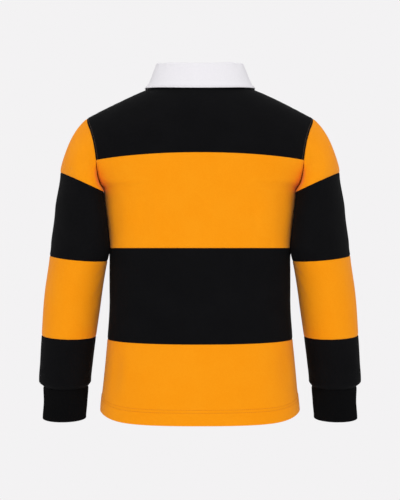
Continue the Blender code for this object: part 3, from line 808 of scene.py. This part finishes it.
for side in ("back", "front"):
    bands = (("chest", "amber", yokeSeamAt, chestSeamAt, chestFractions()),
             ("waist", "black", chestSeamAt, waistSeamAt, steps(body["rows"], body["reach"]["waist"])),
             ("hem", "amber", waistSeamAt, hemAt, steps(body["rows"], body["reach"]["hem"])))
    for part, colour, top, bottom, fractions in bands:
        grid = bandPoints(side, top, bottom, fractions)
        keep = None
        if (side, part) == ("front", "chest"):
            middles = (grid[:-1, :-1] + grid[1:, 1:]) / 2
            keep = ~((np.abs(middles[..., 0]) < placket["halfWidth"]) & (middles[..., 2] > placketEnd()))
        makePanel(f"{side}_{part}", side, grid, colour, keep, torsoNormals(grid, side))
makePanel("back_yoke", "back", yokePoints("back"), "black")
for hand, outward in (("left", 1), ("right", -1)):
    grid = yokePoints("front", fromX=placket["halfWidth"]) * (outward, 1, 1)
    makePanel(f"front_yoke_{hand}", "front", grid, "black")
print("body panels made")


def sleeveRelief(grid, turns):
    z = grid[..., 2].mean(axis=1, keepdims=True) + 0 * grid[..., 2]
    degrees = np.degrees(turns)[None, :] + 0 * z
    relief = settle(degrees / 57.3 * sleeveRadius, z, slack["phase"]["sleeve"])
    for a1, z1, a2, z2, bow, width, depth in sleeveFolds:
        middle = (a1 + a2) / 2
        near = (degrees - middle + 180) % 360 - 180
        start, stop = (math.radians(angle - middle) * sleeveRadius for angle in (a1, a2))
        relief += foldRelief(np.radians(near) * sleeveRadius, z, [(start, z1, stop, z2, bow, width, depth)])
    return relief


def makeTube(part, hand, grid, turns, colour, calm=1.0):
    name = f"cloth_sleeve_{part}_{hand}"
    joined = np.concatenate([grid, grid[:, :1]], axis=1)
    report(name, joined)
    normals, sign = normalsOf(grid, True, grid.mean(axis=1, keepdims=True)[-1])
    fromTop, fromBottom = distances(grid, 0)
    along = distances(joined, 1)[0][:, :-1]
    fade = 1 - bell(np.minimum(fromTop, fromBottom), slack["seamReach"])
    # next to the body the sleeve stays smooth, so that the two stay clear of each other
    beside = 1 - bell(np.degrees(turns) - 180, slack["besideBody"])[None, :]
    kept = slack["sleeveSeamShare"] + (1 - slack["sleeveSeamShare"]) * fade
    relief = sleeveRelief(grid, turns) * kept * beside * calm
    relief += seamRelief(fromTop, along) + seamRelief(fromBottom, along)
    finished = grid + normals * relief[..., None]
    surfaces[name] = (finished, normals)
    obj = clothObject(name, finished, sign, colour, closed=True, wall=sleeve["wall"])
    declare(f"sleeve_{part}_{hand}")


def makeCuff(hand, outward):
    # doubled rib: down the outside, round the folded edge and up the inside
    count = cuff["ribs"] * cuff["columnsPerRib"]
    turns = np.arange(count) * 2 * math.pi / count
    top, bottom = cuff["rows"][-1][0], cuff["rows"][0][0]
    half = cuff["wall"] / 2
    even = np.linspace(cuff["firstEvenRow"], 1, cuff["evenRows"])
    heights = top + (bottom + half - top) * np.concatenate([edgeSteps[:4] / cuff["length"], even])
    outer = np.array([ringPoint(cuff, height + 0 * turns, turns, outward) for height in heights])
    normals, sign = normalsOf(outer, True, outer.mean(axis=1, keepdims=True)[-1])
    ribs = cuff["ribHeight"] * np.cos(turns * cuff["ribs"])
    fromTop = distances(outer, 0)[0]
    relief = ribs * (1 - bell(fromTop, cuff["ribFade"])) + seamRelief(fromTop, 0 * fromTop)
    outside = outer + normals * relief[..., None]
    inside = outer - normals * (cuff["wall"] + ribs)[..., None]
    middle = (outside[-1] + inside[-1]) / 2
    fold = []
    for angle in np.radians(cuff["foldAngles"]):
        below = np.array((0, 0, -half)) * math.sin(angle)
        fold.append(middle + (outside[-1] - middle) * math.cos(angle) + below)
    grid = np.concatenate([outside, np.array(fold), inside[::-1]])
    obj = clothObject(f"rib_cuff_{hand}", grid, sign, "rib", closed=True, ringed=True)
    declare(f"cuff_{hand}")
    print(f"  cuff: {cuff['ribs']} ribs")


for hand, outward in (("left", 1), ("right", -1)):
    turns = ringTurns()
    makeTube("head", hand, headPoints(outward), turns, "amber", calm=sleeve["headCalm"])
    top = sleeve["seams"]["head"]
    for part, colour in (("upper", "black"), ("elbow", "amber"), ("forearm", "black")):
        grid = tubePoints(sleeve, top, sleeve["seams"][part], sleeve["rowsEach"], turns, outward)
        makeTube(part, hand, grid, turns, colour)
        top = sleeve["seams"][part]
    makeCuff(hand, outward)
print("sleeves made")


collar = {
    "columns": ("turn", "standHeight", "standLean", "leafSpread"),
    "rows": ((0.0, 0.0313, 0.0030, 0.0148), (45.0, 0.0333, 0.0034, 0.0158), (90.0, 0.0352, 0.0060, 0.0190),
             (135.0, 0.0300, 0.0038, 0.0182), (180.0, 0.0230, 0.0030, 0.0165)),
    "foldRadius": 0.0034, "leafFlare": 0.22, "flarePower": 6, "leafLift": 0.0028, "wall": 0.0019,
    "turnAtFold": 179.2, "turnAtEdge": 160.0, "columnsRound": 280, "clearance": 0.0002,
    "standRows": 14, "foldRows": 19, "leafRows": 22, "edgeRows": (0.93, 0.955, 0.975, 0.99, 1.0),
    "stitchInset": 0.0030, "groove": 0.00028, "grooveWidth": 0.0009,
    "pucker": 0.00010, "puckerRate": 690, "puckerWidth": 0.004,
    "waves": ((0.00035, 47, 0.8), (0.0002, 83, 2.0)),  # height, waves per metre x 2 pi, shift
    "calmEdge": 0.012,
}
neckCrease = {"depth": 0.0011, "x": 0.058, "width": 0.004, "height": 0.036, "length": 0.012}


def neckPlan(turn):
    depth = np.where(np.abs(turn) <= math.pi / 2, body["neckDepth"]["back"], body["neckDepth"]["front"])
    place = np.stack([body["neckHalfWidth"] * np.sin(turn), depth * np.cos(turn)], axis=-1)
    out = np.stack([np.sin(turn) / body["neckHalfWidth"], np.cos(turn) / depth], axis=-1)
    return place, out / np.linalg.norm(out, axis=-1, keepdims=True)


def clothHeight(place):
    x, y = place[..., 0], place[..., 1]
    return np.where(y >= 0, archHeight(x, y, "back"), archHeight(x, y, "front"))


def restingHeight(place, lift):
    step = 0.001
    slopes = [(clothHeight(place + shift) - clothHeight(place - shift)) / (2 * step)
              for shift in (np.array((step, 0)), np.array((0, step)))]
    return clothHeight(place) + lift * np.sqrt(1 + slopes[0] ** 2 + slopes[1] ** 2)


def collarTurns(end):
    return np.radians(end * np.linspace(-1, 1, collar["columnsRound"] + 1))


def collarAt(column, turns):
    return sizeAt(collar, column, np.abs(np.degrees(turns)))


def standPoints():
    turns = collarTurns(collar["turnAtFold"])
    place, out = neckPlan(turns)
    rise = collarAt("standHeight", turns) - collar["foldRadius"] - collar["clearance"]
    lean = out * collarAt("standLean", turns)[:, None]
    base = clothHeight(place) + collar["clearance"]
    return np.array([np.concatenate([place - lean * t, (base + rise * t)[:, None]], axis=1)
                     for t in np.linspace(0, 1, collar["standRows"])])


def leafPoints():
    radius, grid = collar["foldRadius"], []
    turns = collarTurns(collar["turnAtFold"])
    place, out = neckPlan(turns)
    top = clothHeight(place) + collarAt("standHeight", turns)
    lean = collarAt("standLean", turns)
    for angle in np.radians(np.linspace(180, 0, collar["foldRows"])):
        reach = (radius - lean + radius * math.cos(angle))[:, None]
        height = top - radius * (1 - math.sin(angle))
        grid.append(np.concatenate([place + out * reach, height[:, None]], axis=1))
    folded = grid[-1][:, 2]
    for t in np.concatenate([np.linspace(0, 0.9, collar["leafRows"])[1:], collar["edgeRows"]]):
        turns = collarTurns(collar["turnAtFold"] + (collar["turnAtEdge"] - collar["turnAtFold"]) * t)
        place, out = neckPlan(turns)
        spread = collarAt("leafSpread", turns)
        start = 2 * radius - collarAt("standLean", turns)
        share = t * (1 - collar["leafFlare"]) + t ** collar["flarePower"] * collar["leafFlare"]
        spot = place + out * (start + (spread - start) * share)[:, None]
        fall = folded + (restingHeight(place + out * spread[:, None], collar["leafLift"]) - folded) * t
        height = np.maximum(fall, restingHeight(spot, collar["leafLift"]))
        grid.append(np.concatenate([spot, height[:, None]], axis=1))
    return np.array(grid)


def roundedShell(name, grid, wall, relief=0.0):
    # two layers turned and pressed: both faces, joined round every edge by a half round
    normals, sign = normalsOf(grid, False, centre)
    fromEdge = np.minimum(np.minimum(*distances(grid, 0)), np.minimum(*distances(grid, 1)))
    half = wall / 2 * np.sqrt(np.clip(1 - (1 - np.clip(fromEdge / (wall / 2), 0, 1)) ** 2, 0.02, 1))
    outside = grid + normals * (half + relief)[..., None]
    inside = grid - normals * half[..., None]
    surfaces[name] = (outside, normals)
    obj = clothObject(name, outside, sign, "drill")
    rows, columns = grid.shape[:2]
    bm = bmesh.new()
    bm.from_mesh(obj.data)
    pairs = [bm.verts.new(point) for point in inside.reshape(-1, 3)]
    uv = bm.loops.layers.uv.active
    bm.verts.index_update()
    for face in list(bm.faces):
        twin = bm.faces.new([pairs[vert.index] for vert in reversed(face.verts)])
        twin.smooth = True
        for loop, source in zip(twin.loops, reversed(list(face.loops))):
            loop[uv].uv = source[uv].uv
    outer = [edge for edge in bm.edges
             if edge.is_boundary and max(vert.index for vert in edge.verts) < rows * columns]
    for edge in outer:
        loop = edge.link_loops[0]
        first, second = loop.link_loop_next.vert, loop.vert
        rim = bm.faces.new((first, second, pairs[second.index], pairs[first.index]))
        rim.smooth = True
        for corner in rim.loops:
            corner[uv].uv = loop[uv].uv
    bm.to_mesh(obj.data)
    bm.free()
    return obj


def leafRelief(grid):
    fromEnds = np.minimum(*distances(grid, 1))
    toEdge = distances(grid, 0)[1]
    inset, width = collar["stitchInset"], collar["grooveWidth"]
    line = bell(toEdge - inset, width) + bell(fromEnds - inset, width)
    along = distances(grid, 1)[0]
    near = bell(toEdge - inset, collar["puckerWidth"])
    pucker = collar["pucker"] * np.sin(along * collar["puckerRate"]) * near
    soft = sum(height * np.sin(along * rate + shift) for height, rate, shift in collar["waves"])
    # a soft crease where the fold turns round each side of the neck
    beside = bell(np.abs(grid[..., 0]) - neckCrease["x"], neckCrease["width"])
    above = bell(grid[..., 2] - neckCrease["height"], neckCrease["length"])
    crease = -neckCrease["depth"] * beside * above * (grid[..., 1] > 0)
    calm = np.clip(toEdge / collar["calmEdge"], 0, 1)
    return -collar["groove"] * line + pucker + (soft + crease) * calm


leafGrid, standGrid = leafPoints(), standPoints()
report("collar leaf", leafGrid)
report("collar stand", standGrid)
leaf = roundedShell("drill_collar_leaf", leafGrid, collar["wall"], leafRelief(leafGrid))
declare("collar_leaf")
stand = roundedShell("drill_collar_stand", standGrid, collar["wall"])
declare("collar_stand")
print("collar made")


def placketPoints(lift, end):
    halfWidth = placket["halfWidth"] - placket["sideGap"]
    top = float(clothHeight(np.array((0.0, -body["neckDepth"]["front"]))))
    xs = np.linspace(-halfWidth, halfWidth, placket["columns"])
    heights = np.linspace(top, end, placket["rows"])
    grid = np.array([torsoPoint(xs, height + 0 * xs, "front") for height in heights])
    normals, _ = normalsOf(grid, False, centre)
    return grid + normals * lift


def stripRelief(grid):
    toSide, toEnd = np.minimum(*distances(grid, 1)), distances(grid, 0)[1]
    inset, width = placket["stitchInset"], placket["grooveWidth"]
    return -placket["groove"] * (bell(toSide - inset, width) + bell(toEnd - inset, width))


end = placketEnd()
underGrid = placketPoints(-placket["sink"], end + placket["endGap"])
under = roundedShell("drill_placket_under", underGrid, placket["wall"])
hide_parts("placket_under")
upperGrid = placketPoints(placket["lift"] - placket["sink"], end - placket["tail"])
upper = roundedShell("drill_placket_upper", upperGrid, placket["wall"], stripRelief(upperGrid))
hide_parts("placket_upper")

button = {
    "heights": (-0.094, -0.138), "radius": 0.0060, "thickness": 0.0030, "segments": 48, "sharpAngle": 35,
    "holeRing": 0.0017, "diagonal": 0.7, "holeRadius": 0.00062, "holeSegments": 14,
    "dish": 0.0006, "gap": 0.0022, "threadLift": 0.0002, "threadSink": 0.0006, "threadTurn": 0.8,
}


def frontNormal(height):
    step = 0.0005
    above, below = (torsoPoint(np.array([0.0]), np.array([height + s]), "front")[0] for s in (step, -step))
    tangent = (above - below) / np.linalg.norm(above - below)
    return np.array((0, -abs(tangent[2]), tangent[1]))


def onPlacket(height, sideways, up, out):
    # a place on the button's own axes, turned square to the strip
    normal = frontNormal(height)
    lift = np.cross(normal, (1, 0, 0))
    lift = lift * np.sign(lift[2])
    origin = torsoPoint(np.array([0.0]), np.array([height]), "front")[0] + normal * button["gap"]
    return origin + np.array((1, 0, 0)) * sideways + lift * up + normal * out


def makeButton(number, height):
    radius, thick, dish = button["radius"], button["thickness"], button["dish"]
    # half section from the middle of the back, round the rim, to the dished middle of the face
    profile = [
        (0, 0), (radius * 0.80, 0), (radius * 0.93, 0.0003), (radius, 0.0009), (radius, 0.0016),
        (radius * 0.97, 0.0023), (radius * 0.90, 0.0028), (radius * 0.80, thick), (radius * 0.70, 0.0029),
        (radius * 0.60, thick - dish), (radius * 0.45, thick - dish * 1.15), (0, thick - dish * 1.2),
    ]
    bm = bmesh.new()
    rings = []
    count = button["segments"]
    for r, out in profile:
        turns = np.arange(count if r else 1) * 2 * math.pi / count
        rings.append([bm.verts.new((r * math.cos(t), r * math.sin(t), out)) for t in turns])
    for lower, upperRing in zip(rings, rings[1:]):
        for i in range(count):
            j = (i + 1) % count
            if len(lower) == 1:
                bm.faces.new((lower[0], upperRing[j], upperRing[i]))
            elif len(upperRing) == 1:
                bm.faces.new((lower[i], lower[j], upperRing[0]))
            else:
                bm.faces.new((lower[i], lower[j], upperRing[j], upperRing[i]))
    bmesh.ops.recalc_face_normals(bm, faces=bm.faces)
    blank = addObject("blank", meshFrom("blank", bm))
    # four holes on the ring, cut right through
    cutter = bmesh.new()
    place, size = button["holeRing"] * button["diagonal"], button["holeRadius"]
    for sx, sy in ((-1, -1), (-1, 1), (1, -1), (1, 1)):
        made = bmesh.ops.create_cone(cutter, cap_ends=True, segments=button["holeSegments"],
                                     radius1=size, radius2=size, depth=0.01)
        bmesh.ops.translate(cutter, verts=made["verts"], vec=(sx * place, sy * place, 0.001))
    pins = addObject("pins", meshFrom("pins", cutter))
    holes = blank.modifiers.new("holes", "BOOLEAN")
    holes.operation = "DIFFERENCE"
    holes.solver = "EXACT"
    holes.object = pins
    finished = baked(blank)
    bpy.data.objects.remove(pins)
    for vert in finished.vertices:
        vert.co = onPlacket(height, *vert.co)
    finished.materials.clear()
    finished.materials.append(materials["rubber"])
    finished.set_sharp_from_angle(angle=math.radians(button["sharpAngle"]))
    placed = addObject(f"rubber_button_{number}", finished)
    wear(placed)
    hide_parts(f"button_{number}")


for number, height in enumerate(button["heights"], start=1):
    makeButton(number, height)
print("placket and buttons made")


# Each stitch is a bead of thread, and a row of them follows a line that lies on the cloth.
stitch = {"pitch": 0.0030, "length": 0.0023, "width": 0.00055}
fineStitch = {"pitch": 0.0026, "length": 0.0020, "width": 0.00045}
buttonStitch = {"pitch": 0.0004, "length": 0.0007, "width": 0.0005}
stitchRow = {"lift": 0.00018, "armholeInset": 0.0045, "underarmEnd": 0.004, "yokeWidth": 0.0008}


def stitchTree():
    tree = bpy.data.node_groups.new("Rows of stitches", "GeometryNodeTree")
    for name, kind in (("Geometry", "Geometry"), ("Pitch", "Float"), ("Length", "Float"), ("Width", "Float"),
                       ("Thread", "Material")):
        tree.interface.new_socket(name=name, in_out="INPUT", socket_type=f"NodeSocket{kind}")
    tree.interface.new_socket(name="Geometry", in_out="OUTPUT", socket_type="NodeSocketGeometry")
    given = addNode(tree, "NodeGroupInput").outputs
    curve = addNode(tree, "GeometryNodeMeshToCurve", {"Mesh": given["Geometry"]}).outputs[0]
    spacing = {"Curve": curve, "Length": given["Pitch"]}
    points = addNode(tree, "GeometryNodeResampleCurve", spacing, mode="LENGTH").outputs[0]
    bead = addNode(tree, "GeometryNodeMeshUVSphere", {"Segments": 6, "Rings": 5, "Radius": 0.5}).outputs[0]
    along = addNode(tree, "GeometryNodeInputTangent").outputs[0]
    turned = addNode(tree, "FunctionNodeAlignRotationToVector", {"Vector": along}, axis="X").outputs[0]
    sizes = {0: given["Length"], 1: given["Width"], 2: given["Width"]}
    size = addNode(tree, "ShaderNodeCombineXYZ", sizes).outputs[0]
    inputs = {"Points": points, "Instance": bead, "Rotation": turned, "Scale": size}
    placed = addNode(tree, "GeometryNodeInstanceOnPoints", inputs).outputs[0]
    real = addNode(tree, "GeometryNodeRealizeInstances", {"Geometry": placed}).outputs[0]
    inputs = {"Geometry": real, "Material": given["Thread"]}
    threaded = addNode(tree, "GeometryNodeSetMaterial", inputs).outputs[0]
    addNode(tree, "NodeGroupOutput", {"Geometry": threaded})
    return tree


sewingTree = stitchTree()


def sew(name, lines, colour, size):
    verts, edges = [], []
    for line in lines:
        first = len(verts)
        verts += [tuple(point) for point in line]
        edges += [(first + i, first + i + 1) for i in range(len(line) - 1)]
    mesh = bpy.data.meshes.new(name + "_path")
    mesh.from_pydata(verts, edges, [])
    path = addObject(name + "_path", mesh)
    modifier = path.modifiers.new("stitches", "NODES")
    modifier.node_group = sewingTree
    values = {key.capitalize(): value for key, value in size.items()} | {"Thread": materials[colour]}
    for item in sewingTree.interface.items_tree:
        if item.in_out == "INPUT" and item.name in values:
            modifier[item.identifier] = values[item.name]
    made = baked(path)
    if not made.materials:
        made.materials.append(materials[colour])
    wear(addObject(name, made))
    print(f"  {name}: {len(made.polygons)} faces")


def lineAt(name, edge, inset):
    # a line along a piece at this distance from its top, its bottom, or its first or last column
    grid, normals = surfaces[name]
    if edge in ("first", "last"):
        grid, normals = grid.swapaxes(0, 1), normals.swapaxes(0, 1)
    distance = distances(grid, 0)[0 if edge in ("top", "first") else 1]
    line = []
    for c in range(grid.shape[1]):
        order = np.argsort(distance[:, c])
        near = distance[order, c]
        point = [np.interp(inset, near, grid[order, c, i]) for i in range(3)]
        normal = [np.interp(inset, near, normals[order, c, i]) for i in range(3)]
        line.append(np.array(point) + np.array(normal) * stitchRow["lift"])
    return line


blackLines, amberLines = [], []
for hand, last in (("left", "last"), ("right", "first")):
    # on the body side of the armhole seam: down the yokes, then down the chest to the underarm
    blackLines.append(lineAt("cloth_back_yoke", last, stitchRow["armholeInset"])[2:-2])
    blackLines.append(lineAt(f"cloth_front_yoke_{hand}", "last", stitchRow["armholeInset"])[2:-2])
    for side in ("back", "front"):
        line = lineAt(f"cloth_{side}_chest", last, stitchRow["armholeInset"])
        amberLines.append([p for p in line[2:] if p[2] > body["underarm"] + stitchRow["underarmEnd"]])
sew("stitches_armhole_yokes", blackLines, "blackThread", stitch | {"width": stitchRow["yokeWidth"]})
sew("stitches_armhole_chest", amberLines, "amberThread", stitch)
hemLines = [lineAt(f"cloth_{side}_hem", "bottom", hem["depth"] + extra)
            for side in ("back", "front") for extra in (0, hem["twin"])]
sew("stitches_hem", hemLines, "amberThread", stitch)
edgeLines = [lineAt("drill_collar_leaf", "bottom", collar["stitchInset"])[4:-4]]
edgeLines += [lineAt("drill_collar_leaf", edge, collar["stitchInset"])[20:-2] for edge in ("first", "last")]
sew("stitches_collar", edgeLines, "whiteThread", fineStitch)
inset = placket["stitchInset"]
strip = [lineAt("drill_placket_upper", edge, inset) for edge in ("first", "last")]
strip += [lineAt("drill_placket_upper", "bottom", inset + extra)[2:-2] for extra in (0, placket["box"])]
sew("stitches_placket", strip, "whiteThread", fineStitch)

threads = []
for height in button["heights"]:
    hole = button["holeRing"] * button["diagonal"]
    face = button["thickness"] - button["dish"] + button["threadLift"]
    turn, sink = button["threadTurn"], button["threadSink"]
    # a cross of two threads over the face, each sinking into a hole at both ends
    for y in (1, -1):
        spots = ((-1, sink), (-turn, 0), (turn, 0), (1, sink))
        threads.append([onPlacket(height, hole * t, hole * y * t, face - down) for t, down in spots])
sew("stitches_buttons", threads, "whiteThread", buttonStitch)
print("sewing done")


studio = {
    "paper": "#F3F2F3", "ambient": 0.66, "floor": -1.15, "floorRadius": 6.0, "target": (0, 0, -0.25),
    "softboxes": (
        # name, place, size, watts
        ("softbox_behind_camera", (0.0, 2.9, 0.5), 3.0, 35),
        ("softbox_far_side", (0.0, -2.9, 0.5), 3.0, 33),
        ("softbox_above", (0.0, 0.0, 2.4), 2.0, 10),
    ),
}


def paperTree(tree, output, plain, bright):
    # the camera sees bright paper, and the shirt is lit by the plain shader
    isCamera = addNode(tree, "ShaderNodeLightPath").outputs["Is Camera Ray"]
    mixed = addNode(tree, "ShaderNodeMixShader", {0: isCamera, 1: plain.outputs[0], 2: bright.outputs[0]})
    addNode(tree, output, {"Surface": mixed.outputs[0]})


paper = linear(studio["paper"])
world = bpy.data.worlds.new("Light tent")
bpy.context.scene.world = world
world.use_nodes = True
tree = world.node_tree
tree.nodes.clear()
light = addNode(tree, "ShaderNodeBackground", {"Color": (1, 1, 1, 1), "Strength": studio["ambient"]})
seen = addNode(tree, "ShaderNodeBackground", {"Color": paper, "Strength": 1.0})
paperTree(tree, "ShaderNodeOutputWorld", light, seen)

floorMaterial = bpy.data.materials.new("Pale paper sweep")
floorMaterial.use_nodes = True
tree = floorMaterial.node_tree
tree.nodes.clear()
matt = addNode(tree, "ShaderNodeBsdfDiffuse", {"Color": paper})
glow = addNode(tree, "ShaderNodeEmission", {"Color": paper, "Strength": 1.0})
paperTree(tree, "ShaderNodeOutputMaterial", matt, glow)
bm = bmesh.new()
bmesh.ops.create_circle(bm, cap_ends=True, segments=96, radius=studio["floorRadius"])
bmesh.ops.translate(bm, verts=bm.verts, vec=(0, 0, studio["floor"]))
floorMesh = meshFrom("paper_floor", bm)
floorMesh.materials.append(floorMaterial)
addObject("paper_floor", floorMesh)

for name, location, size, power in studio["softboxes"]:
    data = bpy.data.lights.new(name, "AREA")
    data.shape = "SQUARE"
    data.size = size
    data.energy = power
    softbox = addObject(name, data)
    softbox.location = location
    across, back, down = np.array(studio["target"]) - np.array(location)
    yaw = math.atan2(across, -back)
    softbox.rotation_euler = (math.atan2(math.hypot(across, back), -down), 0, yaw + math.pi)

# the camera looks level at the back, and its frame is this tall at the middle of the shirt
view = {"distance": 1.68, "height": -0.261, "tall": 0.8, "sensor": 36}
cameraData = bpy.data.cameras.new("camera")
cameraData.sensor_fit = "VERTICAL"
cameraData.sensor_height = view["sensor"]
cameraData.lens = view["sensor"] / (view["tall"] / view["distance"])
camera = addObject("camera", cameraData)
camera.location = (0, view["distance"], view["height"])
camera.rotation_euler = (math.pi / 2, 0, math.pi)
bpy.context.scene.camera = camera
bpy.context.scene.view_settings.view_transform = "Standard"
print("studio ready")
